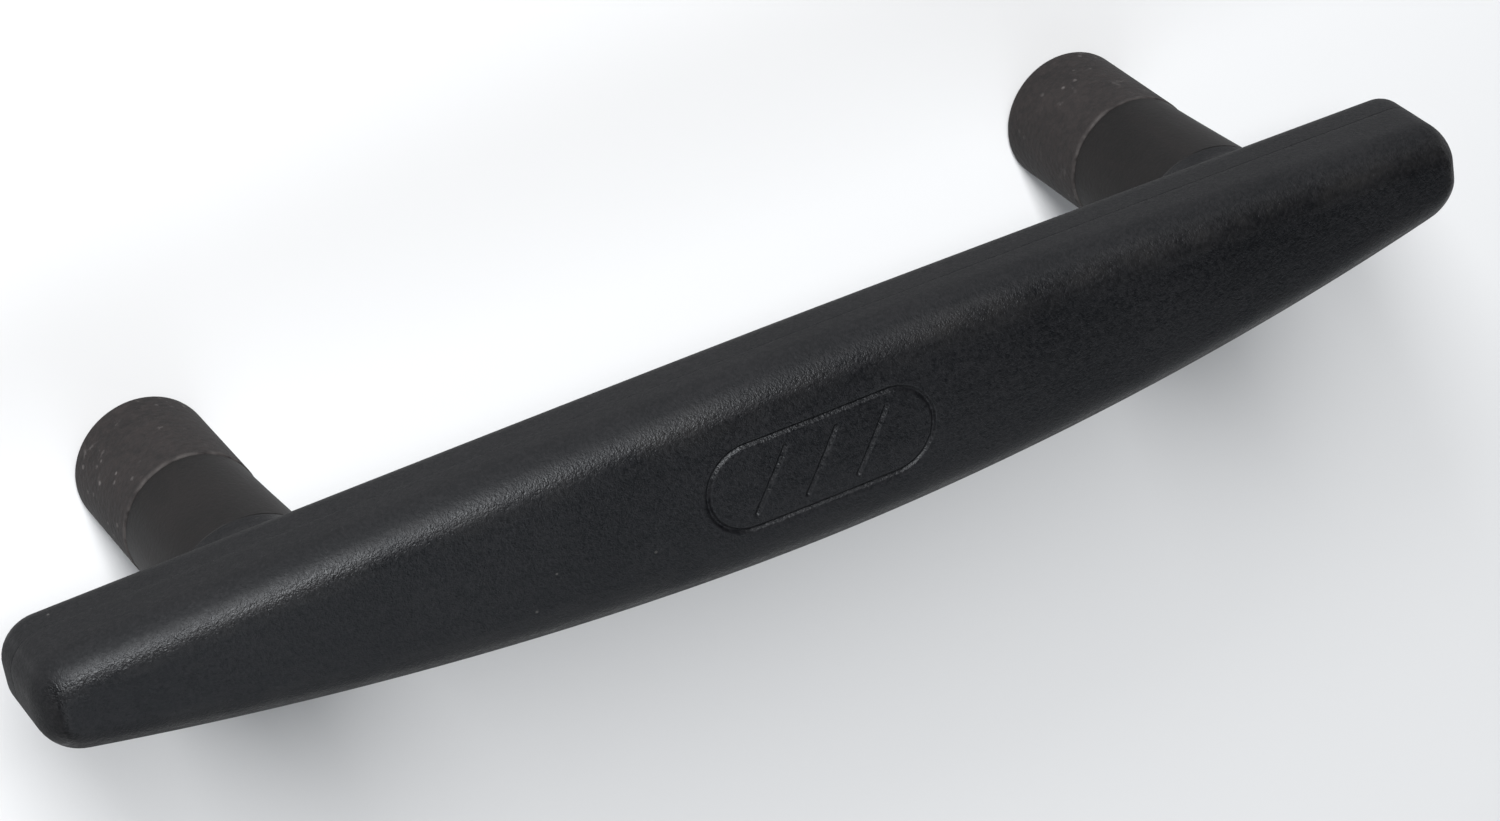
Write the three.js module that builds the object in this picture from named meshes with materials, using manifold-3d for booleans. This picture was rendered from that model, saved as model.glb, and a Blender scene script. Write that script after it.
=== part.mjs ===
import * as THREE from 'three';
import { mergeVertices } from 'three/addons/utils/BufferGeometryUtils.js';
import Module from 'manifold-3d';

const wasm = await Module();
wasm.setup();

// Overall sizes in mm. X runs along the horn, Y across it, Z up from the deck.
const hornLength = 254;
const legSpacing = 173.4;
const crownHeight = 73.1;
const crownHeightAtTip = 62.6;
const bellyHeight = 55.5;
const bellyHeightAtTip = 41.8;
const halfWidth = 17.6;
const halfWidthAtTip = 8.0;
const widthPower = 1.86;
const archPower = 1.92;
const cornerRadius = 6.3;
const crownRadius = 90;
const topFillet = 6.0;
const topFilletEndShare = 0.62;
const bottomFillet = 4.1;

// Shells
const gap = 0.3;
const wall = 2.5;
const floorThickness = 2.8;
const seamHeight = 7.7;
const lipInset = 1.5;
const lipHeight = 1.7;
const sidePoints = 14;
const cornerPoints = 5;

// Legs and sleeves
const sleeveRadius = 11.7;
const sleeveHeight = 22.9;
const sleeveFloor = 2.5;
const deckBoltRadius = 4.6;
const spigotRadius = 9.0;
const neckRadius = 11.5;
const neckTopAlong = 12.9;
const neckTopAcross = 11.9;
const collarDrop = 2.3;
const tenonRadius = 8.0;
const tenonHeight = 7.8;
const insertRadius = 5.5;
const insertLength = 16.6;
const insertBore = 3.4;
const roundSegments = 36;

// Stiffener plate and its two countersunk screws
const plateOverhang = 11.3;
const plateWidth = 14;
const plateThickness = 4;
const plateGap = 0.5;
const legScrewRadius = 3.0;
const legScrewHead = 5.4;
const legScrewLength = 26;
const hexSocket = 2.0;

// Four cover screws driven from below, one each side of both legs
const outerScrewReach = 25.3;
const innerScrewReach = 41.7;
const coverScrewRadius = 1.5;
const coverScrewHead = 3.0;
const coverScrewHeadHeight = 1.9;
const coverScrewRecess = 0.9;
const coverScrewShank = 11;
const baseBossRadius = 5.0;
const baseBossHeight = 5.0;
const coverBossRadius = 3.2;

// Engraved panel on the crown
const markLength = 40;
const markWidth = 15;
const markGroove = 0.9;
const markDepth = 0.45;
const markBars = [-9, 0, 9];
const markLean = 3.2;

// Values that follow from the sizes above
const legX = legSpacing / 2;
const along = (x, power) => Math.abs((2 * x) / hornLength) ** power;
const crownZ = (x) => crownHeight - (crownHeight - crownHeightAtTip) * along(x, archPower);
const bellyZ = (x) => bellyHeight - (bellyHeight - bellyHeightAtTip) * along(x, archPower);
const sideY = (x) => halfWidth - (halfWidth - halfWidthAtTip) * along(x, widthPower);
const seamZ = (x) => bellyZ(x) + seamHeight;
const topZ = (x, y) => crownZ(x) - crownRadius + Math.sqrt(crownRadius ** 2 - y ** 2);
const legBossRadius = sideY(legX) - wall - 2 * gap;
const plateHalfLength = legX + plateOverhang;
const plateBottom = bellyHeight + floorThickness + plateGap;
const plateTop = plateBottom + plateThickness;
const coverScrewPair = [legX - innerScrewReach, legX + outerScrewReach];
const coverScrewAt = [-coverScrewPair[1], -coverScrewPair[0], ...coverScrewPair];
const baseBossTop = (x) => Math.min(bellyZ(x) + baseBossHeight, plateBottom - gap);
const collarZ = bellyZ(legX) - collarDrop;
const neckTop = collarZ - gap;
const tenonTop = neckTop + tenonHeight;
const shoulderZ = sleeveHeight + gap;
const legScrewTop = plateTop - 0.1;
const legScrewTip = legScrewTop - legScrewLength;

const material = (color, roughness, metalness) =>
  new THREE.MeshStandardMaterial({ color, roughness, metalness });

const materials = {
  shell: material(0x1b1c1f, 0.5, 0),
  leg: material(0x1f1f20, 0.55, 0),
  sleeve: material(0x3b3634, 0.9, 0),
  steel: material(0xb9bcc0, 0.35, 1),
  brass: material(0xc39a4a, 0.4, 1),
};

const group = new THREE.Group();
group.name = 'cleat_horn';

function addPart(name, geometry, slot) {
  const clean = geometry.clone();
  clean.deleteAttribute('normal');
  clean.deleteAttribute('uv');
  const merged = mergeVertices(clean, 1e-5);
  merged.computeVertexNormals();
  const mesh = new THREE.Mesh(merged, materials[slot]);
  mesh.name = name;
  group.add(mesh);
}

// Solids in and out of the boolean kernel
function toSolid(geometry) {
  const clean = geometry.clone();
  clean.deleteAttribute('normal');
  clean.deleteAttribute('uv');
  const merged = mergeVertices(clean, 1e-5);
  return new wasm.Manifold(new wasm.Mesh({
    numProp: 3,
    vertProperties: new Float32Array(merged.attributes.position.array),
    triVerts: new Uint32Array(merged.index.array),
  }));
}

function fromSolid(solid) {
  const mesh = solid.getMesh();
  const geometry = new THREE.BufferGeometry();
  geometry.setAttribute('position', new THREE.BufferAttribute(mesh.vertProperties, 3));
  geometry.setIndex(new THREE.BufferAttribute(mesh.triVerts, 1));
  return geometry;
}

// A round bar standing on z0
function rod(radius, z0, z1, x = 0, segments = roundSegments) {
  const geometry = new THREE.CylinderGeometry(radius, radius, z1 - z0, segments);
  geometry.rotateX(Math.PI / 2);
  geometry.translate(x, 0, (z0 + z1) / 2);
  return geometry;
}

// Turned piece from [radius, z] pairs, upright on the Z axis
function turned(profile, segments = roundSegments) {
  const points = profile.map(([radius, z]) => new THREE.Vector2(radius, z));
  const geometry = new THREE.LatheGeometry(points, segments);
  geometry.rotateX(Math.PI / 2);
  return geometry;
}

// Plan outline of the horn, counter-clockwise, with its outward directions
function hornOutline() {
  const quarter = [];
  const sideEnd = hornLength / 2 - cornerRadius;
  for (let i = 0; i <= sidePoints; i += 1) {
    const x = (sideEnd * i) / sidePoints;
    quarter.push([x, sideY(x)]);
  }
  for (let i = 1; i <= cornerPoints; i += 1) {
    const turn = (Math.PI / 2) * (i / cornerPoints);
    const x = sideEnd + cornerRadius * Math.sin(turn);
    quarter.push([x, sideY(x) - cornerRadius * (1 - Math.cos(turn))]);
  }
  quarter.push([hornLength / 2, 0]);
  const right = quarter.slice().reverse();
  const left = quarter.slice(1, -1).map(([x, y]) => [-x, y]);
  const upper = [...right, ...left];
  const lower = [[-hornLength / 2, 0], ...upper.slice(1).reverse().map(([x, y]) => [x, -y])];
  const loop = [...upper, ...lower];
  return loop.map((point, i) => {
    const before = loop[(i + loop.length - 1) % loop.length];
    const after = loop[(i + 1) % loop.length];
    const dx = after[0] - before[0];
    const dy = after[1] - before[1];
    const size = Math.hypot(dx, dy);
    return { x: point[0], y: point[1], nx: dy / size, ny: -dx / size };
  });
}

const outline = hornOutline();

// Rings of points, each the outline moved inwards and lifted to a surface
const insetRing = (inset, zAt, endInset = inset) => outline.map(({ x, y, nx, ny }) => {
  const px = x - nx * endInset;
  const py = y - ny * inset;
  return [px, py, zAt(px, py)];
});

function closingRing(ring, share, zAt) {
  const spine = hornLength / 2 - halfWidthAtTip;
  return ring.map(([x, y]) => {
    const target = Math.max(-spine, Math.min(spine, x));
    const px = x + (target - x) * share;
    const py = y * (1 - share);
    return [px, py, zAt(px, py)];
  });
}

// A fillet along the sides; endShare shortens it lengthwise at the two ends
function filletRings(inset, radius, steps, zAt, side, endShare = 1) {
  const rings = [];
  for (let i = 0; i <= steps; i += 1) {
    const turn = (Math.PI / 2) * (i / steps);
    const move = radius * (1 - Math.cos(turn));
    const drop = radius * (1 - Math.sin(turn));
    const lift = (x, y) => zAt(x, y) - side * drop;
    rings.push(insetRing(inset + move, lift, inset + move * endShare));
  }
  return rings;
}

// Joins rings into one closed skin; the first and last rings are already shut
function skin(rings) {
  const count = outline.length;
  const positions = rings.flat(2);
  const index = [];
  for (let r = 0; r + 1 < rings.length; r += 1) {
    for (let i = 0; i < count; i += 1) {
      const a = r * count + i;
      const b = r * count + ((i + 1) % count);
      const c = b + count;
      const d = a + count;
      index.push(a, b, c, a, c, d);
    }
  }
  const raw = new THREE.BufferGeometry();
  raw.setAttribute('position', new THREE.Float32BufferAttribute(positions, 3));
  raw.setIndex(index);
  const merged = mergeVertices(raw, 1e-4);
  const kept = [];
  const source = merged.index.array;
  for (let i = 0; i < source.length; i += 3) {
    const [a, b, c] = [source[i], source[i + 1], source[i + 2]];
    if (a !== b && b !== c && a !== c) {
      kept.push(a, b, c);
    }
  }
  merged.setIndex(kept);
  return merged;
}

// Groove cutter that follows the crown along a path of [x, y] points
function grooveCutter(path, closed) {
  const count = path.length;
  const positions = [];
  path.forEach(([x, y], i) => {
    const before = path[closed ? (i + count - 1) % count : Math.max(0, i - 1)];
    const after = path[closed ? (i + 1) % count : Math.min(count - 1, i + 1)];
    const dx = after[0] - before[0];
    const dy = after[1] - before[1];
    const size = Math.hypot(dx, dy);
    const nx = dy / size;
    const ny = -dx / size;
    [[-1, 1], [1, 1], [1, 0], [-1, 0]].forEach(([side, up]) => {
      const px = x + (nx * side * markGroove) / 2;
      const py = y + (ny * side * markGroove) / 2;
      positions.push(px, py, topZ(px, py) + (up ? 1 : -markDepth));
    });
  });
  const index = [];
  const spans = closed ? count : count - 1;
  for (let i = 0; i < spans; i += 1) {
    for (let k = 0; k < 4; k += 1) {
      const a = i * 4 + k;
      const b = i * 4 + ((k + 1) % 4);
      const c = ((i + 1) % count) * 4 + ((k + 1) % 4);
      const d = ((i + 1) % count) * 4 + k;
      index.push(a, b, c, a, c, d);
    }
  }
  if (!closed) {
    const e = (count - 1) * 4;
    index.push(0, 2, 1, 0, 3, 2, e, e + 1, e + 2, e, e + 2, e + 3);
  }
  const geometry = new THREE.BufferGeometry();
  geometry.setAttribute('position', new THREE.Float32BufferAttribute(positions, 3));
  geometry.setIndex(index);
  const solid = toSolid(geometry);
  if (solid.volume() > 0) {
    return solid;
  }
  const flipped = [];
  for (let i = 0; i < index.length; i += 3) {
    flipped.push(index[i], index[i + 2], index[i + 1]);
  }
  geometry.setIndex(flipped);
  return toSolid(geometry);
}

function markCutters() {
  const round = markWidth / 2;
  const straight = markLength / 2 - round;
  const loop = [];
  for (let i = 0; i < 6; i += 1) {
    loop.push([-straight + (2 * straight * i) / 6, -round]);
  }
  for (let i = 0; i < 12; i += 1) {
    const turn = -Math.PI / 2 + (Math.PI * i) / 12;
    loop.push([straight + round * Math.cos(turn), round * Math.sin(turn)]);
  }
  for (let i = 0; i < 6; i += 1) {
    loop.push([straight - (2 * straight * i) / 6, round]);
  }
  for (let i = 0; i < 12; i += 1) {
    const turn = Math.PI / 2 + (Math.PI * i) / 12;
    loop.push([-straight + round * Math.cos(turn), round * Math.sin(turn)]);
  }
  const reach = markWidth / 2 - 2.6;
  const bars = markBars.map((x) => [-1, -0.5, 0, 0.5, 1].map((t) => [x + markLean * t, reach * t]));
  return [grooveCutter(loop, true), ...bars.map((bar) => grooveCutter(bar, false))];
}

function makeCover() {
  const ceiling = (x, y) => topZ(x, y) - wall;
  const seamUp = (lift) => (x) => seamZ(x) + gap / 2 + lift;
  const outer = filletRings(0, topFillet, 6, topZ, 1, topFilletEndShare);
  const inner = filletRings(wall, topFillet - wall, 3, ceiling, 1, topFilletEndShare);
  const outerTop = outer[outer.length - 1];
  const innerTop = inner[inner.length - 1];
  const rebate = lipInset - gap;
  const rings = [
    closingRing(outerTop, 1, topZ),
    closingRing(outerTop, 0.66, topZ),
    closingRing(outerTop, 0.33, topZ),
    ...outer.slice().reverse(),
    insetRing(0, seamUp(0)),
    insetRing(rebate, seamUp(0)),
    insetRing(rebate, seamUp(lipHeight + gap)),
    insetRing(wall, seamUp(lipHeight + gap)),
    ...inner,
    closingRing(innerTop, 0.5, ceiling),
    closingRing(innerTop, 1, ceiling),
  ];
  let solid = toSolid(skin(rings.reverse()));
  coverScrewAt.forEach((x) => {
    const foot = baseBossTop(x) + gap;
    solid = solid.add(toSolid(rod(coverBossRadius, foot, crownZ(x) - wall / 2, x, 20)));
  });
  coverScrewAt.forEach((x) => {
    const foot = baseBossTop(x);
    const tip = bellyZ(x) + coverScrewRecess + coverScrewHeadHeight + coverScrewShank + gap;
    solid = solid.subtract(toSolid(rod(coverScrewRadius + gap, foot, tip, x, 20)));
  });
  markCutters().forEach((cutter) => {
    solid = solid.subtract(cutter);
  });
  addPart('horn_cover', fromSolid(solid), 'shell');
}

function makeBase() {
  const belly = (x) => bellyZ(x);
  const floor = (x) => bellyZ(x) + floorThickness;
  const seamDown = (lift) => (x) => seamZ(x) - gap / 2 + lift;
  const outer = filletRings(0, bottomFillet, 4, belly, -1);
  const outerLow = outer[outer.length - 1];
  const innerLow = insetRing(wall + 1.2, floor);
  const rings = [
    closingRing(outerLow, 1, belly),
    closingRing(outerLow, 0.5, belly),
    ...outer.slice().reverse(),
    insetRing(0, seamDown(0)),
    insetRing(lipInset, seamDown(0)),
    insetRing(lipInset, seamDown(lipHeight)),
    insetRing(wall, seamDown(lipHeight)),
    insetRing(wall, (x) => floor(x) + 1.2),
    innerLow,
    closingRing(innerLow, 0.5, floor),
    closingRing(innerLow, 1, floor),
  ];
  let solid = toSolid(skin(rings));
  const bossTop = plateBottom - gap;
  [-legX, legX].forEach((x) => {
    const collar = rod(1, collarZ, bellyZ(x) + floorThickness + 1, 0, 40);
    collar.scale(neckTopAlong, neckTopAcross, 1);
    collar.translate(x, 0, 0);
    solid = solid.add(toSolid(collar));
    solid = solid.add(toSolid(rod(legBossRadius, bellyZ(x), bossTop, x)));
    solid = solid.subtract(toSolid(rod(tenonRadius + gap, collarZ - 1, tenonTop + gap, x)));
    solid = solid.subtract(toSolid(rod(legScrewRadius + gap, collarZ, bossTop + 1, x, 24)));
  });
  const seat = coverScrewRecess + coverScrewHeadHeight + gap;
  coverScrewAt.forEach((x) => {
    const z = bellyZ(x);
    solid = solid.add(toSolid(rod(baseBossRadius, z + 1, baseBossTop(x), x, 24)));
    solid = solid.subtract(toSolid(rod(coverScrewHead + gap, z - 2, z + seat, x, 24)));
    solid = solid.subtract(toSolid(rod(coverScrewRadius + gap, z, baseBossTop(x) + 1, x, 20)));
  });
  addPart('horn_base', fromSolid(solid), 'shell');
}

function makePlate() {
  const shape = new THREE.Shape();
  const half = plateWidth / 2;
  const flat = plateHalfLength - half;
  shape.moveTo(-flat, -half);
  shape.lineTo(flat, -half);
  shape.absarc(flat, 0, half, -Math.PI / 2, Math.PI / 2, false);
  shape.lineTo(-flat, half);
  shape.absarc(-flat, 0, half, Math.PI / 2, (3 * Math.PI) / 2, false);
  const blank = new THREE.ExtrudeGeometry(shape, {
    depth: plateThickness,
    bevelEnabled: false,
    curveSegments: 14,
  });
  blank.translate(0, 0, plateBottom);
  let solid = toSolid(blank);
  const side = gap * Math.SQRT2;
  const sink = legScrewHead - legScrewRadius;
  [-legX, legX].forEach((x) => {
    const hole = turned([
      [0, plateBottom - 1],
      [legScrewRadius + gap, plateBottom - 1],
      [legScrewRadius + gap, legScrewTop - 0.4 - sink],
      [legScrewHead + side, legScrewTop - 0.4],
      [legScrewHead + side, plateTop + 1],
      [0, plateTop + 1],
    ], 28);
    hole.translate(x, 0, 0);
    solid = solid.subtract(toSolid(hole));
  });
  coverScrewAt.filter((x) => Math.abs(x) < plateHalfLength).forEach((x) => {
    const hole = rod(coverBossRadius + 2 * gap, plateBottom - 1, plateTop + 1, x, 28);
    solid = solid.subtract(toSolid(hole));
  });
  addPart('stiffener_plate', fromSolid(solid), 'steel');
}

// Post with a flared neck, a tenon above and a spigot below
function makeLeg(name, x) {
  const spigotEnd = sleeveFloor + gap;
  const insertTop = spigotEnd + gap + insertLength + gap;
  const flareSteps = 6;
  const profile = [
    [0, insertTop],
    [insertRadius + gap, insertTop],
    [insertRadius + gap, spigotEnd],
    [spigotRadius - 0.6, spigotEnd],
    [spigotRadius, spigotEnd + 0.6],
    [spigotRadius, shoulderZ],
  ];
  for (let i = 0; i <= flareSteps; i += 1) {
    profile.push([neckRadius, shoulderZ + ((neckTop - shoulderZ) * i) / flareSteps]);
  }
  profile.push(
    [tenonRadius, neckTop],
    [tenonRadius, tenonTop - 0.6],
    [tenonRadius - 0.6, tenonTop],
    [legScrewRadius + gap, tenonTop],
    [legScrewRadius + gap, legScrewTip - 1],
    [0, legScrewTip - 1],
  );
  const geometry = turned(profile);
  const position = geometry.attributes.position;
  for (let i = 0; i < position.count; i += 1) {
    const radius = Math.hypot(position.getX(i), position.getY(i));
    if (radius > neckRadius - 0.01) {
      const share = Math.max(0, (position.getZ(i) - shoulderZ) / (neckTop - shoulderZ)) ** 1.25;
      position.setX(i, position.getX(i) * (1 + share * (neckTopAlong / neckRadius - 1)));
      position.setY(i, position.getY(i) * (1 + share * (neckTopAcross / neckRadius - 1)));
    }
  }
  geometry.translate(x, 0, 0);
  addPart(name, geometry, 'leg');
}

function makeSleeve(name, x) {
  const geometry = turned([
    [deckBoltRadius, 0],
    [sleeveRadius - 0.9, 0],
    [sleeveRadius - 0.26, 0.26],
    [sleeveRadius, 0.9],
    [sleeveRadius, sleeveHeight - 0.35],
    [sleeveRadius - 0.35, sleeveHeight],
    [spigotRadius + gap, sleeveHeight],
    [spigotRadius + gap, sleeveFloor],
    [deckBoltRadius, sleeveFloor],
    [deckBoltRadius, 0],
  ]);
  geometry.translate(x, 0, 0);
  addPart(name, geometry, 'sleeve');
}

function makeInsert(name, x) {
  const low = sleeveFloor + 2 * gap;
  const high = low + insertLength;
  const band = 0.5;
  const geometry = turned([
    [insertBore, low + 0.6],
    [insertBore + 0.6, low],
    [insertRadius, low],
    [insertRadius, low + 5],
    [insertRadius - band, low + 5.5],
    [insertRadius - band, low + 7.5],
    [insertRadius, low + 8],
    [insertRadius, high - 3],
    [insertRadius - band, high - 2.5],
    [insertRadius - band, high],
    [insertBore, high],
    [insertBore, low + 0.6],
  ]);
  geometry.translate(x, 0, 0);
  addPart(name, geometry, 'brass');
}

function makeLegScrew(name, x) {
  const sink = legScrewHead - legScrewRadius;
  const body = turned([
    [0, legScrewTip],
    [legScrewRadius - 0.7, legScrewTip],
    [legScrewRadius, legScrewTip + 0.7],
    [legScrewRadius, legScrewTop - 0.4 - sink],
    [legScrewHead, legScrewTop - 0.4],
    [legScrewHead, legScrewTop],
    [0, legScrewTop],
  ], 28);
  const socket = rod(hexSocket, legScrewTop - 2.2, legScrewTop + 1, 0, 6);
  const geometry = fromSolid(toSolid(body).subtract(toSolid(socket)));
  geometry.translate(x, 0, 0);
  addPart(name, geometry, 'steel');
}

function makeCoverScrew(name, x) {
  const low = bellyZ(x) + coverScrewRecess;
  const seat = low + coverScrewHeadHeight;
  const tip = seat + coverScrewShank;
  const body = turned([
    [0, low],
    [coverScrewHead - 0.6, low],
    [coverScrewHead, low + 0.6],
    [coverScrewHead, seat],
    [coverScrewRadius, seat],
    [coverScrewRadius, tip - 2],
    [0.4, tip],
    [0, tip],
  ], 24);
  let solid = toSolid(body);
  [0, Math.PI / 2].forEach((turn) => {
    const slot = new THREE.BoxGeometry(3.4, 0.8, 2.2);
    slot.rotateZ(turn + Math.PI / 4);
    slot.translate(0, 0, low);
    solid = solid.subtract(toSolid(slot));
  });
  const geometry = fromSolid(solid);
  geometry.translate(x, 0, 0);
  addPart(name, geometry, 'steel');
}

makeCover();
makeBase();
makePlate();
[['left', -legX], ['right', legX]].forEach(([side, x]) => {
  makeLeg(`${side}_leg`, x);
  makeSleeve(`${side}_sleeve`, x);
  makeInsert(`${side}_insert`, x);
  makeLegScrew(`${side}_leg_screw`, x);
});
coverScrewAt.forEach((x, i) => {
  makeCoverScrew(`cover_screw_${i + 1}`, x);
});

export default group;
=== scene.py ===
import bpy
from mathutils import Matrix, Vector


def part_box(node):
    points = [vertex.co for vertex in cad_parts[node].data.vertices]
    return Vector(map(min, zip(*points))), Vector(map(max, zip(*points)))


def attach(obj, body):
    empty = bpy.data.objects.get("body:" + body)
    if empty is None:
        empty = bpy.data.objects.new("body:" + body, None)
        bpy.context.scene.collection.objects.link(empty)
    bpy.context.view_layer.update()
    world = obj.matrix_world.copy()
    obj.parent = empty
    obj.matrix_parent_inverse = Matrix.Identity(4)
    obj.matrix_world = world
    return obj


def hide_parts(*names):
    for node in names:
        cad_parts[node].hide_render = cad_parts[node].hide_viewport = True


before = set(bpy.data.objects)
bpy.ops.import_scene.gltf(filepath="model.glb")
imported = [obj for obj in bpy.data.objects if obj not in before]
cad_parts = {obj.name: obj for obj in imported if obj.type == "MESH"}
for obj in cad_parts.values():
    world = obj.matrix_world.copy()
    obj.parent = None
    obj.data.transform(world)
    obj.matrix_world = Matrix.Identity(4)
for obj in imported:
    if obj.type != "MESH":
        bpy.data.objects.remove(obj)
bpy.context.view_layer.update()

import math
import bpy
import bmesh
from mathutils import Matrix, Vector

mm = 0.001


class Wire:
    # wraps a number socket so that maths on it reads as Python
    def __init__(self, graph, socket):
        self.graph = graph
        self.socket = socket

    def op(self, kind, *others):
        sockets = dict(enumerate((self, *others)))
        return self.graph.wire("ShaderNodeMath", {"operation": kind}, sockets)

    def __add__(self, other):
        return self.op("ADD", other)

    def __radd__(self, other):
        return self.op("ADD", other)

    def __mul__(self, other):
        return self.op("MULTIPLY", other)

    def __sub__(self, other):
        return self.op("SUBTRACT", other)

    def __rsub__(self, other):
        return self.graph.wire("ShaderNodeMath", {"operation": "SUBTRACT"}, {0: other, 1: self})

    def __pow__(self, other):
        return self.op("POWER", other)

    def __abs__(self):
        return self.op("ABSOLUTE")

    def most(self, other):
        return self.op("MAXIMUM", other)


class Graph:
    def __init__(self, name):
        self.material = bpy.data.materials.new(name)
        self.material.use_nodes = True
        self.tree = self.material.node_tree
        self.tree.nodes.clear()
        self.output = self.tree.nodes.new("ShaderNodeOutputMaterial")

    def node(self, kind, settings=None, inputs=None):
        made = self.tree.nodes.new(kind)
        for key, value in (settings or {}).items():
            setattr(made, key, value)
        for key, value in (inputs or {}).items():
            socket = made.inputs[key]
            if isinstance(value, Wire):
                self.tree.links.new(value.socket, socket)
            elif isinstance(value, bpy.types.NodeSocket):
                self.tree.links.new(value, socket)
            else:
                socket.default_value = value
        return made

    def wire(self, kind, settings=None, inputs=None):
        return Wire(self, self.node(kind, settings, inputs).outputs[0])

    def place(self, offset=(0, 0, 0), turn=(0, 0, 0), scale=(1, 1, 1)):
        coord = self.node("ShaderNodeTexCoord")
        sockets = {"Vector": coord.outputs["Object"], "Location": offset, "Rotation": turn, "Scale": scale}
        return self.node("ShaderNodeMapping", None, sockets).outputs[0]

    def axes(self):
        coord = self.node("ShaderNodeTexCoord")
        split = self.node("ShaderNodeSeparateXYZ", None, {0: coord.outputs["Object"]})
        return [Wire(self, split.outputs[i]) for i in range(3)]

    def attribute(self, name):
        return Wire(self, self.node("ShaderNodeAttribute", {"attribute_name": name}).outputs["Fac"])

    def noise(self, scale, detail=2.0, rough=0.5, at=None, distortion=0.0):
        sockets = {"Vector": at or self.place(), "Scale": scale, "Detail": detail}
        sockets.update({"Roughness": rough, "Distortion": distortion})
        return self.wire("ShaderNodeTexNoise", {"noise_dimensions": "3D"}, sockets)

    def cells(self, scale, at=None):
        sockets = {"Vector": at or self.place(), "Scale": scale, "Randomness": 1.0}
        return Wire(self, self.node("ShaderNodeTexVoronoi", {"feature": "F1"}, sockets).outputs["Distance"])

    def span(self, value, low, high):
        # 0 at low, 1 at high, held beyond both
        sockets = {"Value": value, "From Min": low, "From Max": high, "To Min": 0.0, "To Max": 1.0}
        return self.wire("ShaderNodeMapRange", {"interpolation_type": "LINEAR", "clamp": True}, sockets)

    def blend(self, factor, first, second):
        made = self.node("ShaderNodeMix", {"data_type": "RGBA", "blend_type": "MIX"}, {0: factor})
        for slot, value in ((6, first), (7, second)):
            if isinstance(value, bpy.types.NodeSocket):
                self.tree.links.new(value, made.inputs[slot])
            else:
                made.inputs[slot].default_value = (*value, 1.0)
        return made.outputs[2]

    def bump(self, height, strength, distance, normal=None):
        inputs = {"Height": height, "Strength": strength, "Distance": distance}
        if normal is not None:
            inputs["Normal"] = normal
        return self.node("ShaderNodeBump", None, inputs).outputs[0]

    def surface(self, **inputs):
        named = {key.replace("_", " "): value for key, value in inputs.items()}
        shader = self.node("ShaderNodeBsdfPrincipled", None, named)
        self.tree.links.new(shader.outputs[0], self.output.inputs[0])
        return self.material


shellLook = {
    "dark": (0.0024, 0.0025, 0.0031), "light": (0.0088, 0.0084, 0.0092),
    "dust": (0.10, 0.095, 0.09), "worn": (0.022, 0.0205, 0.0195),
    "rough": 0.405, "wallRough": 0.30, "collarRough": 0.10, "specular": 0.38,
    "wallNear": 0.0012, "wallFar": 0.0032, "tipNear": 0.0012, "tipFar": 0.0030,
    "collarIn": 0.0136, "collarOut": 0.0142, "collarLow": 0.0491, "collarHigh": 0.0501,
}


def makeShellFinish():
    look = shellLook
    g = Graph("satinShell")
    x, y, z = g.axes()
    cloud = g.noise(32, 3.0, 0.55)
    mottle = g.noise(1100, 3.0, 0.7)
    grain = g.noise(1750, 2.5, 0.66)
    fine = g.noise(3800, 2.0, 0.5)
    streak = g.noise(420, 3.0, 0.6, at=g.place(scale=(0.035, 1.0, 1.0)))
    mixed = cloud * 0.2 + mottle * 0.3 + grain * 0.4 + streak * 0.1
    base = g.blend(g.span(mixed, 0.44, 0.58), look["dark"], look["light"])
    speck = g.span(g.cells(230), 0.075, 0.045) * g.span(g.noise(21, 2.0), 0.52, 0.61)
    worn = g.attribute("worn") * g.span(g.noise(90, 4.0, 0.65), 0.36, 0.66)
    rubbed = g.blend(worn * 0.5, base, look["worn"])
    colour = g.blend(speck * 0.6, rubbed, look["dust"])
    side = abs(x) - postX * mm
    ringed = g.span((side * side + y * y) ** 0.5, look["collarOut"], look["collarIn"])
    collar = ringed * g.span(z, look["collarHigh"], look["collarLow"])
    halfLength = hornLength / 2 * mm
    swell = (horn["half"] - horn["halfTip"]) * mm
    outer = (1.0 - (abs(x) * (1.0 / halfLength)) ** horn["widthPower"]) * swell + horn["halfTip"] * mm
    flank = g.span(outer - abs(y), look["wallFar"], look["wallNear"])
    wall = flank.most(g.span(abs(x), halfLength - look["tipFar"], halfLength - look["tipNear"]))
    rough = look["rough"] + wall * look["wallRough"] + collar * look["collarRough"]  # duller walls and collar
    rough += (cloud - 0.5) * 0.12 + (mottle - 0.5) * 0.40 + (streak - 0.5) * 0.10
    rough += speck * 0.3 - worn * 0.05
    grit = g.bump(grain * 0.65 + fine * 0.35, 1.0, 0.00020)
    lines = g.bump(streak * g.span(abs(y), 0.006, 0.012), 0.15, 0.00010, grit)
    soft = g.bump(g.noise(110, 2.0, 0.5), 0.06, 0.0004, lines)
    shine = look["specular"]
    return g.surface(Base_Color=colour, Roughness=rough, Normal=soft, IOR=1.38, Specular_IOR_Level=shine)


neckLook = {
    "dark": (0.0022, 0.0017, 0.0016), "light": (0.0072, 0.0056, 0.0053),
    "rough": 0.62, "specular": 0.40,
}


def makeNeckFinish():
    look = neckLook
    g = Graph("satinNeck")
    cloud = g.noise(70, 3.0, 0.55)
    grain = g.noise(1250, 3.0, 0.62)
    flow = g.noise(240, 3.0, 0.6, at=g.place(scale=(1.0, 1.0, 0.12)))
    mixed = cloud * 0.35 + flow * 0.35 + grain * 0.3
    colour = g.blend(g.span(mixed, 0.4, 0.6), look["dark"], look["light"])
    rough = look["rough"] + (flow - 0.5) * 0.16 + (grain - 0.5) * 0.1
    soft = g.bump(grain * 0.6 + flow * 0.4, 0.7, 0.00016)
    shine = look["specular"]
    return g.surface(Base_Color=colour, Roughness=rough, Normal=soft, IOR=1.33, Specular_IOR_Level=shine)


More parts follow.
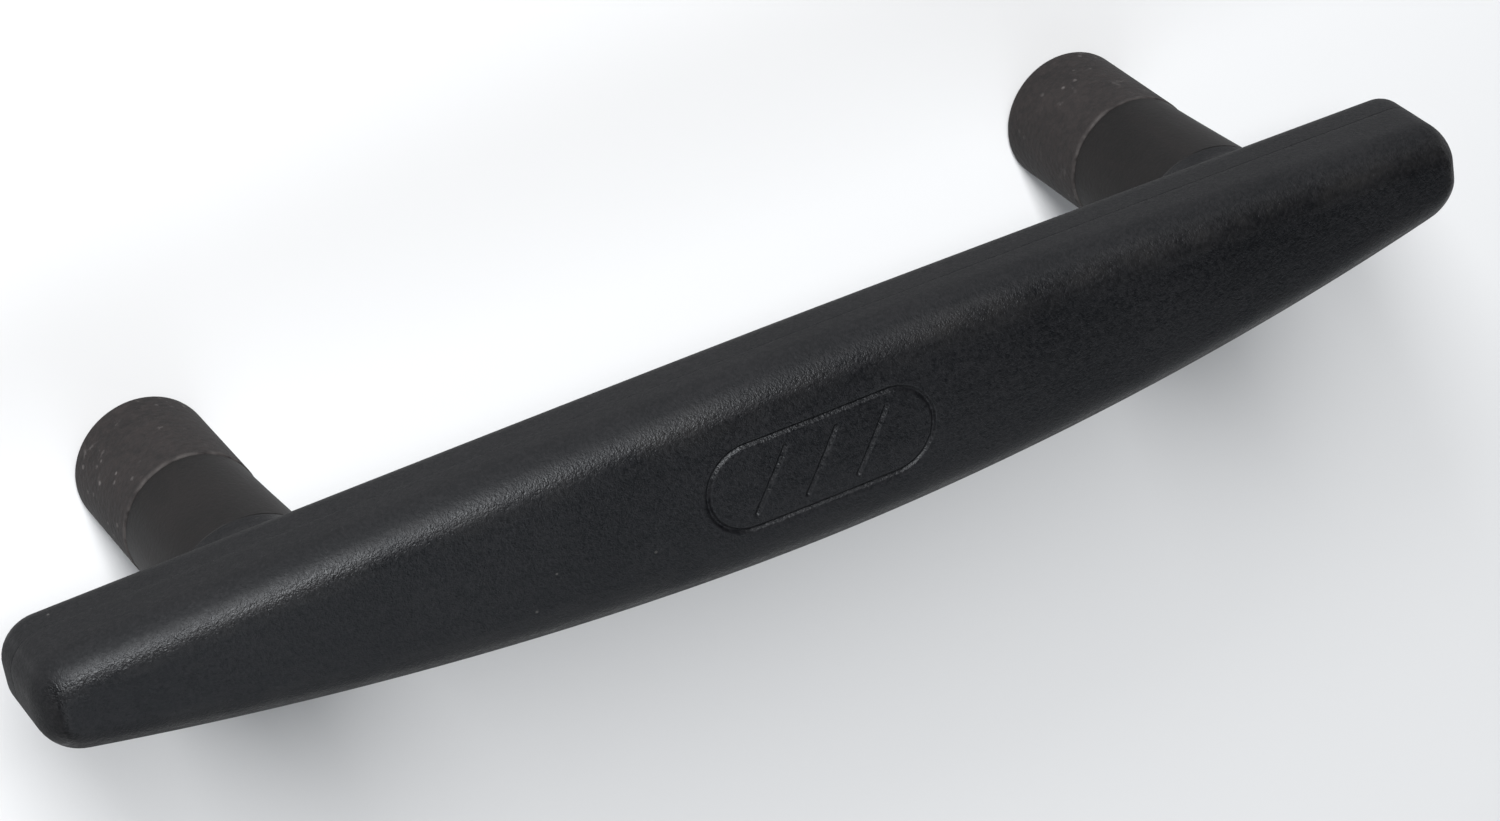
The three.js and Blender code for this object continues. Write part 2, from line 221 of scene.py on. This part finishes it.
sleeveLook = {
    "dark": (0.0036, 0.0022, 0.0020), "light": (0.0180, 0.0132, 0.0122),
    # the colour for the sleeve's top edge band is a painted highlight
    "scuff": (0.12, 0.108, 0.103), "paintedRimHighlight": (0.052, 0.045, 0.042), "rimLow": 0.0009, "rimHigh": 0.0002,
}


def makeSleeveFinish(rimZ):
    look = sleeveLook
    g = Graph("roughSleeve")
    z = g.axes()[2]
    cloud = g.noise(95, 4.0, 0.6)
    gritty = g.noise(820, 4.0, 0.7)
    pebble = g.cells(900)
    base = g.blend(g.span(cloud * 0.3 + gritty * 0.7, 0.36, 0.64), look["dark"], look["light"])
    tilted = g.place(turn=(0.4, 0.2, 0.9), scale=(1.0, 0.8, 1.2))
    scratch = g.span(g.noise(170, 5.0, 0.72, at=tilted, distortion=0.4), 0.58, 0.68)
    rub = g.span(g.noise(62, 3.0, 0.6, at=g.place(offset=(0.37, 0.12, 0.05))), 0.50, 0.64)
    spots = g.span(g.cells(420, at=g.place(offset=(0.2, 0.1, 0.3))), 0.20, 0.12)
    dots = spots * g.span(g.noise(75, 3.0), 0.46, 0.60)
    marks = (scratch * rub).most(dots) * g.span(gritty, 0.34, 0.58) * 0.8
    scuffed = g.blend(marks, base, look["scuff"])
    # painted highlight: the sleeve's top edge is lightened in a narrow band, broken up by noise
    paintedRimHighlight = g.span(z, rimZ - look["rimLow"], rimZ - look["rimHigh"])
    edge = paintedRimHighlight * g.span(g.noise(420, 3.0), 0.34, 0.58)
    colour = g.blend(edge * 0.75, scuffed, look["paintedRimHighlight"])
    rough = 0.80 + (gritty - 0.5) * 0.3
    coarse = g.bump(gritty * 0.6 + pebble * 0.4, 0.85, 0.00032)
    return g.surface(Base_Color=colour, Roughness=rough, Normal=g.bump(cloud, 0.2, 0.0006, coarse), IOR=1.42)


def makeMetalFinish(name, dark, light, rough, along):
    g = Graph(name)
    brushed = g.noise(900, 4.0, 0.65, at=g.place(scale=along))
    cloud = g.noise(90, 3.0, 0.55)
    colour = g.blend(g.span(cloud * 0.6 + brushed * 0.4, 0.35, 0.65), dark, light)
    shine = rough + (brushed - 0.5) * 0.25 + (cloud - 0.5) * 0.1
    return g.surface(Base_Color=colour, Metallic=1.0, Roughness=shine, Normal=g.bump(brushed, 0.25, 0.00004))


def carve(piece, tool, operation):
    step = piece.modifiers.new("carve", "BOOLEAN")  # applied at once, and the tool removed
    step.operation = operation
    step.solver = "EXACT"
    step.object = tool
    bpy.context.view_layer.update()
    graph = bpy.context.evaluated_depsgraph_get()
    made = bpy.data.meshes.new_from_object(piece.evaluated_get(graph))
    piece.modifiers.clear()
    piece.data = made
    bpy.data.objects.remove(tool)


def standIn(bm):
    bmesh.ops.remove_doubles(bm, verts=bm.verts, dist=2e-6)
    bmesh.ops.recalc_face_normals(bm, faces=bm.faces)
    mesh = bpy.data.meshes.new("standIn")
    bm.to_mesh(mesh)
    bm.free()
    piece = bpy.data.objects.new("standIn", mesh)
    bpy.context.scene.collection.objects.link(piece)
    return piece


def carved(bm, added, removed):
    piece = standIn(bm)
    if added:
        carve(piece, standIn(added), "UNION")
    carve(piece, standIn(removed), "DIFFERENCE")
    result = bmesh.new()
    result.from_mesh(piece.data)
    bpy.data.objects.remove(piece)
    return result


def finishPiece(bm, name, finish, nodes, sharp=38):
    bmesh.ops.remove_doubles(bm, verts=bm.verts, dist=2e-6)
    bmesh.ops.dissolve_degenerate(bm, edges=bm.edges, dist=1e-7)
    bmesh.ops.recalc_face_normals(bm, faces=bm.faces)
    for face in bm.faces:
        face.smooth = True
    for edge in bm.edges:
        if len(edge.link_faces) == 2 and edge.calc_face_angle(0) > math.radians(sharp):
            edge.smooth = False
    mesh = bpy.data.meshes.new(name)
    bm.to_mesh(mesh)
    bm.free()
    piece = bpy.data.objects.new(name, mesh)
    bpy.context.scene.collection.objects.link(piece)
    piece.data.materials.append(finishes[finish])
    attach(piece, "root")
    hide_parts(*nodes)
    print("piece", name, len(mesh.polygons), "faces")
    return piece


def loftRings(bm, rings, worn=()):
    tag = bm.verts.layers.int.new("tag")  # a circle laid on the first ring, then extruded ring by ring
    wear = bm.verts.layers.float.new("worn")
    start = bmesh.ops.create_circle(bm, segments=len(rings[0]), radius=1.0)["verts"]
    for i, vert in enumerate(start):
        vert[tag] = i
        vert.co = rings[0][i]
    edges = list({edge for vert in start for edge in vert.link_edges})
    for number, ring in enumerate(rings[1:], 1):
        grown = bmesh.ops.extrude_edge_only(bm, edges=edges)["geom"]
        fresh = {item for item in grown if isinstance(item, bmesh.types.BMVert)}
        for vert in fresh:
            vert.co = ring[vert[tag]]
            vert[wear] = worn[number] if number < len(worn) else 0.0
        lines = [item for item in grown if isinstance(item, bmesh.types.BMEdge)]
        edges = [line for line in lines if line.verts[0] in fresh and line.verts[1] in fresh]


def spinProfile(bm, profile, steps, centre=(0, 0)):
    # profile of (radius, z) in mm, turned about an upright line
    verts = [bm.verts.new((centre[0] + r * mm, centre[1], z * mm)) for r, z in profile]
    edges = [bm.edges.new(pair) for pair in zip(verts, verts[1:])]
    bmesh.ops.spin(
        bm, geom=verts + edges, cent=(*centre, 0), axis=(0, 0, 1),
        angle=math.tau, steps=steps, use_merge=True)


def roundCorner(corner, towardIn, towardOut, radius, steps=5):
    # arc between two straight runs of a turned profile
    c = Vector(corner)
    a = (Vector(towardIn) - c).normalized()
    b = (Vector(towardOut) - c).normalized()
    half = a.angle(b) / 2
    reach = radius / math.tan(half)
    centre = c + (a + b).normalized() * (radius / math.sin(half))
    first = c + a * reach - centre
    last = c + b * reach - centre
    sweep = first.angle_signed(last)
    points = []
    for i in range(steps + 1):
        turn = -sweep * i / steps
        x = centre.x + first.x * math.cos(turn) - first.y * math.sin(turn)
        y = centre.y + first.x * math.sin(turn) + first.y * math.cos(turn)
        points.append((x, y))
    return points


def roundedProfile(corners):
    # corners of (radius, z, rounding); ends stay as they are
    points = []
    for i, (r, z, rounding) in enumerate(corners):
        if rounding and 0 < i < len(corners) - 1:
            points += roundCorner((r, z), corners[i - 1][:2], corners[i + 1][:2], rounding)
        else:
            points.append((r, z))
    return points


horn = {
    "crownZ": 73.095, "crownZTip": 62.6, "bellyZ": 55.5, "bellyZTip": 41.8,
    "half": 17.6, "halfTip": 8.0, "widthPower": 1.86, "archPower": 1.92,
    "corner": 6.3, "crownRadius": 90.0, "topFillet": 6.0, "endShare": 0.62, "bottomFillet": 4.1,
    "seam": 7.7, "seamGap": 0.05, "seamRound": 0.11, "wall": 2.5, "floor": 2.8,
    "lipInset": 1.5, "lipHeight": 1.7, "sideSteps": 84, "cornerSteps": 12,
}
hornLow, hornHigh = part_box("horn_cover")
hornLength = (hornHigh.x - hornLow.x) / mm
legLow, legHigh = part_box("right_leg")
postX = (legLow.x + legHigh.x) / 2 / mm
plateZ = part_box("stiffener_plate")[0].z / mm


def along(x, power):
    return min(1.0, abs(2 * x / hornLength)) ** power


def crownAt(x, y=0.0):
    drop = horn["crownRadius"] - math.sqrt(horn["crownRadius"] ** 2 - y * y)
    return horn["crownZ"] - (horn["crownZ"] - horn["crownZTip"]) * along(x, horn["archPower"]) - drop


def bellyAt(x, y=0.0):
    return horn["bellyZ"] - (horn["bellyZ"] - horn["bellyZTip"]) * along(x, horn["archPower"])


def sideAt(x):
    return horn["half"] - (horn["half"] - horn["halfTip"]) * along(x, horn["widthPower"])


def hornOutline():
    # plan outline with outward directions, one quarter at a time
    quarter = []
    sideEnd = hornLength / 2 - horn["corner"]
    for i in range(horn["sideSteps"] + 1):
        x = sideEnd * i / horn["sideSteps"]
        quarter.append((x, sideAt(x)))
    for i in range(1, horn["cornerSteps"] + 1):
        turn = math.pi / 2 * i / horn["cornerSteps"]
        x = sideEnd + horn["corner"] * math.sin(turn)
        quarter.append((x, sideAt(x) - horn["corner"] * (1 - math.cos(turn))))
    quarter.append((hornLength / 2, 0.0))
    upper = quarter[::-1] + [(-x, y) for x, y in quarter[1:-1]]
    loop = upper + [(-hornLength / 2, 0.0)] + [(x, -y) for x, y in upper[:0:-1]]
    framed = []
    for i, (x, y) in enumerate(loop):
        before, after = loop[i - 1], loop[(i + 1) % len(loop)]
        dx, dy = after[0] - before[0], after[1] - before[1]
        size = math.hypot(dx, dy)
        framed.append((x, y, dy / size, -dx / size))
    return framed


outline = hornOutline()


def insetRing(inset, heightAt, endInset=None):
    ring = []
    lengthwise = inset if endInset is None else endInset
    for x, y, nx, ny in outline:
        px, py = x - nx * lengthwise, y - ny * inset
        ring.append(Vector((px, py, heightAt(px, py))) * mm)
    return ring


def closingRing(ring, share, heightAt):
    spine = hornLength / 2 - horn["halfTip"]
    closed = []
    for point in ring:
        x, y = point.x / mm, point.y / mm
        px = x + (max(-spine, min(spine, x)) - x) * share
        py = y * (1 - share)
        closed.append(Vector((px, py, heightAt(px, py))) * mm)
    return closed


def filletRings(inset, radius, steps, heightAt, side, endShare=1.0):
    rings = []
    for i in range(steps + 1):
        turn = math.pi / 2 * i / steps
        move, drop = radius * (1 - math.cos(turn)), radius * (1 - math.sin(turn))
        lowered = lambda x, y: heightAt(x, y) - side * drop
        rings.append(insetRing(inset + move, lowered, inset + move * endShare))
    return rings


mark = {
    "length": 40.0, "width": 15.0, "groove": 0.95, "depth": 0.42, "bars": (-9.0, 0.0, 9.0),
    "lean": 3.2, "reach": 4.9, "margin": 1.6, "cuts": 7,
}


def distanceToSegment(px, py, ax, ay, bx, by):
    dx, dy = bx - ax, by - ay
    t = max(0.0, min(1.0, ((px - ax) * dx + (py - ay) * dy) / (dx * dx + dy * dy)))
    return math.hypot(px - ax - dx * t, py - ay - dy * t)


def grooveDepth(x, y):
    # soft-edged engraved line: a rounded-end ring with three leaning bars
    radius = mark["width"] / 2
    straight = mark["length"] / 2 - radius
    ring = abs(math.hypot(max(0.0, abs(x) - straight), y) - radius)
    lean, reach = mark["lean"], mark["reach"]
    bars = [distanceToSegment(x, y, bar - lean, -reach, bar + lean, reach) for bar in mark["bars"]]
    near = min([ring] + bars)
    share = max(0.0, 1 - near / (mark["groove"] * 0.62))
    return mark["depth"] * share * share * (3 - 2 * share)


def engrave(bm):
    # dense grid under the mark, laid back on the crown and pressed in
    reachX, reachY = mark["length"] / 2 + mark["margin"], mark["width"] / 2 + mark["margin"]

    def inside(point):
        x, y, z = point / mm
        return abs(x) < reachX and abs(y) < reachY and z > crownAt(x, y) - 1.0

    chosen = [face for face in bm.faces if all(inside(vert.co) for vert in face.verts)]
    edges = list({edge for face in chosen for edge in face.edges})
    bmesh.ops.subdivide_edges(bm, edges=edges, cuts=mark["cuts"], use_grid_fill=True)
    for vert in bm.verts:
        x, y, z = vert.co / mm
        if abs(x) < reachX + 2 and abs(y) < reachY + 2 and z > crownAt(x, y) - 0.4:
            vert.co.z = (crownAt(x, y) - grooveDepth(x, y)) * mm


gate = {
    "fromTip": 3.6, "levelFromTip": 3.0, "across": 6.9, "aboveSeam": 1.7,
    "radius": 1.4, "height": 0.34, "lean": (0.35, 0.5, 0.2),
}


def nub(bm):
    # trimmed moulding gate just above the joint line, at the right tip
    x = hornLength / 2 - gate["fromTip"]
    z = bellyAt(hornLength / 2 - gate["levelFromTip"]) + horn["seam"] + gate["aboveSeam"]
    spot = Vector((x, gate["across"], z)) * mm
    for vert in bm.verts:
        away = (vert.co - spot).length / (gate["radius"] * mm)
        if away < 1:
            push = gate["height"] * mm * (1 - away * away) ** 2
            vert.co += Vector(gate["lean"]) * push


screw = {
    "outer": 25.3, "inner": 41.7, "shank": 1.5, "head": 3.0, "headHeight": 1.9, "recess": 0.9,
    "length": 11.0, "baseBoss": 5.0, "baseBossHeight": 5.0, "coverBoss": 3.2, "slot": (3.3, 0.75, 2.4),
}
screwAt = [-postX - screw["outer"], screw["inner"] - postX, postX - screw["inner"], postX + screw["outer"]]
seat = {
    "along": 12.9, "across": 11.9, "drop": 2.3, "flare": 0.25,
    "bore": 8.3, "screwHole": 3.3, "ovalTop": 2.5,
}
gap = 0.3  # left between neighbouring pieces
chamfer = 0.3  # on the screw bosses


def bossTop(x):
    return min(bellyAt(x) + screw["baseBossHeight"], plateZ - gap)


def makeCover():
    ceiling = lambda x, y: crownAt(x, y) - horn["wall"]
    seam = lambda x: bellyAt(x) + horn["seam"] + horn["seamGap"] / 2
    outer = filletRings(0, horn["topFillet"], 16, crownAt, 1, horn["endShare"])
    top = outer[-1]
    inner = filletRings(horn["wall"], horn["topFillet"] - horn["wall"], 5, ceiling, 1, horn["endShare"])
    rebate = horn["lipInset"] - gap
    rings = [closingRing(top, 1 - i / 10, crownAt) for i in range(10)] + outer[::-1]
    worn = [0.0] * 9 + [0.2, 0.6] + [1.0 - abs(i - 3) / 6 for i in range(8)]
    wallTop = lambda x, y: crownAt(x, y) - horn["topFillet"]
    edge = horn["seamRound"]
    for i in range(1, 5):
        share = i / 5
        rings.append(insetRing(0, lambda x, y: wallTop(x, y) * (1 - share) + (seam(x) + edge) * share))
    worn += [0.0] * (len(rings) - len(worn))
    for i in range(5):
        turn = math.pi / 2 * i / 4
        inset, rise = edge * (1 - math.cos(turn)), edge * (1 - math.sin(turn))
        rings.append(insetRing(inset, lambda x, y: seam(x) + rise))
        worn.append(0.2)
    rings.append(insetRing(rebate, lambda x, y: seam(x)))
    rings.append(insetRing(rebate, lambda x, y: seam(x) + horn["lipHeight"] + gap))
    rings.append(insetRing(horn["wall"], lambda x, y: seam(x) + horn["lipHeight"] + gap))
    rings += inner
    rings += [closingRing(inner[-1], share, ceiling) for share in (0.5, 1.0)]
    bm = bmesh.new()
    loftRings(bm, rings, worn)
    bmesh.ops.remove_doubles(bm, verts=bm.verts, dist=2e-6)
    bosses, holes = bmesh.new(), bmesh.new()
    boss, hole = screw["coverBoss"], screw["shank"] + gap
    for x in screwAt:
        foot = bossTop(x) + gap
        top = crownAt(x) - 1.3  # ends inside the crown's wall
        tip = bellyAt(x) + screw["recess"] + screw["headHeight"] + screw["length"] + gap
        pillar = [(0, foot), (boss - chamfer, foot), (boss, foot + chamfer), (boss, top), (0, top)]
        spinProfile(bosses, pillar, 32, (x * mm, 0))
        spinProfile(holes, [(0, foot - 1), (hole, foot - 1), (hole, tip), (0, tip)], 24, (x * mm, 0))
    bm = carved(bm, bosses, holes)
    engrave(bm)
    nub(bm)
    return finishPiece(bm, "hornCover", "shell", ["horn_cover"])


def makeLegSeat(bm, x):
    before = set(bm.verts)
    low, belly = bellyAt(x) - seat["drop"], bellyAt(x)
    boss = sideAt(x) - horn["wall"] - 2 * gap
    wide, flare = seat["along"], seat["flare"]
    profile = [(0.0, low), (wide - 0.15, low), (wide, low + 0.15), (wide, belly - flare)]
    for i in range(1, 9):
        turn = math.pi / 2 * i / 8
        profile.append((wide + flare * (1 - math.cos(turn)), belly + flare * (math.sin(turn) - 1)))
    ovalTop, top = belly + seat["ovalTop"], plateZ - gap
    profile += [(profile[-1][0], ovalTop), (boss, ovalTop), (boss, top), (0.0, top)]
    spinProfile(bm, profile, 96, (x * mm, 0))
    for vert in bm.verts:
        if vert not in before and vert.co.z < (ovalTop + 0.01) * mm:
            vert.co.y *= seat["across"] / seat["along"]


def makeBase():
    floor = lambda x, y: bellyAt(x) + horn["floor"]
    seam = lambda x: bellyAt(x) + horn["seam"] - horn["seamGap"] / 2
    outer = filletRings(0, horn["bottomFillet"], 12, bellyAt, -1)
    low = outer[-1]
    edge = horn["seamRound"]
    rings = [closingRing(low, 1 - i / 6, bellyAt) for i in range(6)] + outer[::-1]
    worn = [0.0] * 6 + [1.0 - abs(i - 6) / 6 for i in range(13)]
    rings.append(insetRing(0, lambda x, y: (bellyAt(x) + horn["bottomFillet"] + seam(x) - edge) / 2))
    worn.append(0.0)
    for i in range(5):
        turn = math.pi / 2 * i / 4
        inset, drop = edge * (1 - math.cos(turn)), edge * (1 - math.sin(turn))
        rings.append(insetRing(inset, lambda x, y: seam(x) - drop))
        worn.append(0.2)
    rings.append(insetRing(horn["lipInset"], lambda x, y: seam(x)))
    rings.append(insetRing(horn["lipInset"], lambda x, y: seam(x) + horn["lipHeight"]))
    rings.append(insetRing(horn["wall"], lambda x, y: seam(x) + horn["lipHeight"]))
    rings.append(insetRing(horn["wall"], lambda x, y: floor(x, y) + 1.2))
    inner = insetRing(horn["wall"] + 1.2, floor)
    rings.append(inner)
    rings += [closingRing(inner, share, floor) for share in (0.5, 1.0)]
    bm = bmesh.new()
    loftRings(bm, rings, worn)
    added, removed = bmesh.new(), bmesh.new()
    for x in (-postX, postX):
        makeLegSeat(added, x)
        under, top = bellyAt(x) - seat["drop"] - 1, legHigh.z / mm + gap
        bore, thin, over = seat["bore"], seat["screwHole"], plateZ + 1
        socket = [(0, under), (bore, under), (bore, top), (thin, top), (thin, over), (0, over)]
        spinProfile(removed, socket, 72, (x * mm, 0))
    boss, hole, wide = screw["baseBoss"], screw["shank"] + gap, screw["head"] + gap
    for x in screwAt:
        z, top = bellyAt(x), bossTop(x)
        floorZ = z + screw["recess"] + screw["headHeight"] + gap
        pillar = [(0, z + 1), (boss, z + 1), (boss, top - chamfer), (boss - chamfer, top), (0, top)]
        spinProfile(added, pillar, 40, (x * mm, 0))
        pocket = [(0, z - 2), (wide + 2.4, z - 2), (wide + 0.4, z), (wide, z + 0.35), (wide, floorZ)]
        pocket += [(hole, floorZ), (hole, top + 1), (0, top + 1)]
        spinProfile(removed, pocket, 48, (x * mm, 0))
    return finishPiece(carved(bm, added, removed), "hornBase", "shell", ["horn_base"])


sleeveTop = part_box("left_sleeve")[1].z
finishes = {
    "shell": makeShellFinish(),
    "leg": makeNeckFinish(),
    "sleeve": makeSleeveFinish(sleeveTop),
    "steel": makeMetalFinish("satinSteel", (0.42, 0.42, 0.43), (0.66, 0.66, 0.67), 0.32, (0.1, 1.0, 1.0)),
    "brass": makeMetalFinish("turnedBrass", (0.44, 0.30, 0.12), (0.74, 0.54, 0.26), 0.34, (1.0, 1.0, 0.15)),
}
print("materials made")

makeCover()
makeBase()
print("horn shells made")

post = {
    "neck": 11.5, "spigot": 9.0, "tenon": 8.0, "segments": 96, "flarePower": 1.25, "flareSteps": 26,
    "footBore": 5.8, "footDepth": 17.2, "screwHole": 3.3, "screwDepth": 18.2, "flareFrom": 10.9,
}


def makePost(side, x):
    low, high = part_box(side + "_leg")
    shoulder = sleeveTop / mm + 0.05
    neckTop = bellyAt(postX) - seat["drop"] - 0.04
    foot, top = low.z / mm, high.z / mm
    neck, tenon, steps = post["neck"], post["tenon"], post["flareSteps"]
    ceiling, floor = foot + post["footDepth"], top - post["screwDepth"]
    profile = roundedProfile([
        (0.0, ceiling, 0), (post["footBore"], ceiling, 0), (post["footBore"], foot, 0.3),
        (post["spigot"], foot, 0.6), (post["spigot"], shoulder, 0),
        (neck, shoulder, 0.22), (neck, neckTop, 0),
    ])[:-1]
    profile += [(neck, shoulder + 0.6 + (neckTop - shoulder - 0.75) * i / steps) for i in range(steps + 1)]
    profile += [(neck - 0.12, neckTop), (tenon, neckTop), (tenon, top - 0.6), (tenon - 0.6, top)]
    profile += [(post["screwHole"], top), (post["screwHole"], floor), (0.0, floor)]
    bm = bmesh.new()
    spinProfile(bm, profile, post["segments"])
    for vert in bm.verts:
        z = vert.co.z / mm
        if vert.co.xy.length > post["flareFrom"] * mm and z > shoulder:
            share = ((z - shoulder) / (neckTop - shoulder)) ** post["flarePower"]
            vert.co.x *= 1 + share * (seat["along"] / post["neck"] - 1)
            vert.co.y *= 1 + share * (seat["across"] / post["neck"] - 1)
    bmesh.ops.translate(bm, verts=bm.verts, vec=(x, 0, 0))
    finishPiece(bm, side + "Post", "leg", [side + "_leg"])


sleeve = {"boltHole": 4.6, "bore": 9.3, "floor": 2.5, "profileStart": 1.2, "step": 1.6}


def makeSleeve(side, x):
    low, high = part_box(side + "_sleeve")
    outer = (high.x - low.x) / 2 / mm
    top = high.z / mm
    hole, bore, floor, start = sleeve["boltHole"], sleeve["bore"], sleeve["floor"], sleeve["profileStart"]
    profile = roundedProfile([
        (hole, start, 0), (hole, 0, 0.4), (outer, 0, 1.1), (outer, top, 0.3), (bore, top, 0.2),
        (bore, floor, 0), (hole, floor, 0.2), (hole, start, 0),
    ])
    fine = []
    for (r, z), (nextR, nextZ) in zip(profile, profile[1:]):
        cuts = max(1, round(math.dist((r, z), (nextR, nextZ)) / sleeve["step"]))
        fine += [(r + (nextR - r) * i / cuts, z + (nextZ - z) * i / cuts) for i in range(cuts)]
    fine.append(profile[-1])
    bm = bmesh.new()
    spinProfile(bm, fine, 112)
    bmesh.ops.translate(bm, verts=bm.verts, vec=(x, 0, 0))
    finishPiece(bm, side + "Sleeve", "sleeve", [side + "_sleeve"])


insert = {"bore": 3.4, "bandDepth": 0.42, "bands": 7, "turns": 12}


def makeInsert(side, x):
    low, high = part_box(side + "_insert")
    outer, base, top = (high.x - low.x) / 2 / mm, low.z / mm, high.z / mm
    bore, depth, bands, turns = insert["bore"], insert["bandDepth"], insert["bands"], insert["turns"]
    profile = [(bore + 0.7, base), (outer - 0.3, base), (outer, base + 0.3)]
    for band in range(bands):
        z = base + 1.0 + band * (top - base - 2.4) / bands
        profile += [(outer, z), (outer - depth, z + 0.4), (outer - depth, z + 1.1), (outer, z + 1.5)]
    profile += [(outer - 0.4, top), (bore + 0.3, top)]
    pitch = (top - base - 1.4) / turns
    for turn in range(turns):
        z = top - 0.5 - turn * pitch
        profile += [(bore, z), (bore, z - 0.15), (bore + 0.45, z - pitch / 2), (bore, z - pitch + 0.15)]
    profile.append((bore + 0.7, base))
    bm = bmesh.new()
    spinProfile(bm, profile, 72, (x, 0))
    finishPiece(bm, side + "Insert", "brass", [side + "_insert"], sharp=30)


def makeCoverScrew(number, x):
    node = "cover_screw_" + str(number)
    low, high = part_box(node)
    base, tip, head = low.z / mm, high.z / mm, screw["head"]
    under = base + screw["headHeight"]
    profile = [(0, base), (head - 1.1, base + 0.03)]
    for i in range(6):
        turn = math.pi / 2 * i / 5
        profile.append((head - 0.7 + 0.7 * math.sin(turn), base + 0.77 - 0.7 * math.cos(turn)))
    profile += [(head, under - 0.1), (head - 0.1, under), (screw["shank"], under)]
    ridges = 7
    for i in range(ridges):
        z = under + 0.8 + i * (screw["length"] - 3.4) / ridges
        profile += [(screw["shank"] - 0.35, z), (screw["shank"], z + 0.45), (screw["shank"] - 0.35, z + 0.9)]
    profile += [(screw["shank"] - 0.35, tip - 2), (0.3, tip), (0, tip)]
    bm = bmesh.new()
    spinProfile(bm, profile, 48, (x * mm, 0))
    for turn in (math.pi / 4, -math.pi / 4):
        slot = bmesh.new()  # one arm of the cross recess at a time
        made = bmesh.ops.create_cube(slot, size=1.0)["verts"]
        bmesh.ops.scale(slot, vec=Vector(screw["slot"]) * mm, verts=made)
        for vert in made:
            if vert.co.z > 0:
                vert.co.xy *= 0.55  # the recess narrows towards its floor
        bmesh.ops.rotate(slot, cent=(0, 0, 0), matrix=Matrix.Rotation(turn, 3, "Z"), verts=made)
        bmesh.ops.translate(slot, vec=(x * mm, 0, base * mm), verts=made)
        bm = carved(bm, None, slot)
    finishPiece(bm, "coverScrew" + str(number), "steel", [node], sharp=30)


for side, x in (("left", -postX * mm), ("right", postX * mm)):
    makePost(side, x)
    makeSleeve(side, x)
    makeInsert(side, x)
for number, x in enumerate(screwAt, 1):
    makeCoverScrew(number, x)

for name in ("stiffener_plate", "left_leg_screw", "right_leg_screw"):
    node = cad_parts[name]
    node.data.materials.clear()
    node.data.materials.append(finishes["steel"])
print("hardware finished")

studio = {
    "floorTone": (0.70, 0.68, 0.665), "floorHalf": 3.0, "floorDrop": 0.0003,
    "world": 0.05, "sky": (0.88, 0.94, 1.0),
}


def makeStage():
    bm = bmesh.new()
    lowered = Matrix.Translation((0.0, 0.0, -studio["floorDrop"]))  # just clear of the feet
    bmesh.ops.create_grid(bm, x_segments=4, y_segments=4, size=studio["floorHalf"], matrix=lowered)
    mesh = bpy.data.meshes.new("studioFloor")
    bm.to_mesh(mesh)
    bm.free()
    floor = bpy.data.objects.new("studioFloor", mesh)
    bpy.context.scene.collection.objects.link(floor)
    g = Graph("paleFloor")
    floor.data.materials.append(g.surface(Base_Color=(*studio["floorTone"], 1.0), Roughness=0.9))
    world = bpy.data.worlds.new("studioWorld")
    bpy.context.scene.world = world
    world.use_nodes = True
    world.node_tree.nodes["Background"].inputs[0].default_value = (*studio["sky"], 1.0)
    world.node_tree.nodes["Background"].inputs[1].default_value = studio["world"]


def makeLamp(name, place, aim, size, power, tint):
    data = bpy.data.lights.new(name, "AREA")
    data.shape = "RECTANGLE"
    data.size, data.size_y = size
    data.energy = power
    data.color = tint
    lamp = bpy.data.objects.new(name, data)
    lamp.location = place
    lamp.rotation_mode = "QUATERNION"
    lamp.rotation_quaternion = (Vector(aim) - Vector(place)).to_track_quat("-Z", "Y")
    bpy.context.scene.collection.objects.link(lamp)


shot = {
    "place": (-0.26683, 0.40731, 0.689), "aim": (-0.00532, 0.00507, 0.06),
    "roll": 131.401, "lens": 121.107,
}


def makeCamera():
    data = bpy.data.cameras.new("mainCamera")
    data.sensor_width = 36.0
    data.lens = shot["lens"]
    data.clip_start, data.clip_end = 0.05, 20.0
    camera = bpy.data.objects.new("mainCamera", data)
    camera.location = shot["place"]
    back = (Vector(shot["place"]) - Vector(shot["aim"])).normalized()
    right = Vector((0, 0, 1)).cross(back).normalized()
    up = back.cross(right)
    turn = math.radians(shot["roll"])
    newRight = right * math.cos(turn) + up * math.sin(turn)
    newUp = up * math.cos(turn) - right * math.sin(turn)
    camera.rotation_mode = "QUATERNION"
    camera.rotation_quaternion = Matrix((newRight, newUp, back)).transposed().to_quaternion()
    bpy.context.scene.collection.objects.link(camera)
    bpy.context.scene.camera = camera


makeStage()
makeLamp("keyLamp", (-0.35, 1.0, 0.95), (-0.06, 0.0, 0.05), (0.36, 0.95), 41.0, (0.93, 0.965, 1.0))
makeLamp("overheadLamp", (-0.22, -0.60, 1.25), (-0.03, 0.0, 0.0), (0.7, 0.6), 4.2, (0.86, 0.93, 1.0))
makeLamp("frontLamp", (0.45, -1.3, 0.62), (0.05, 0.0, 0.05), (1.8, 0.6), 4.0, (0.88, 0.94, 1.0))
makeCamera()
bpy.context.scene.view_settings.view_transform = "Standard"
bpy.context.scene.view_settings.look = "None"
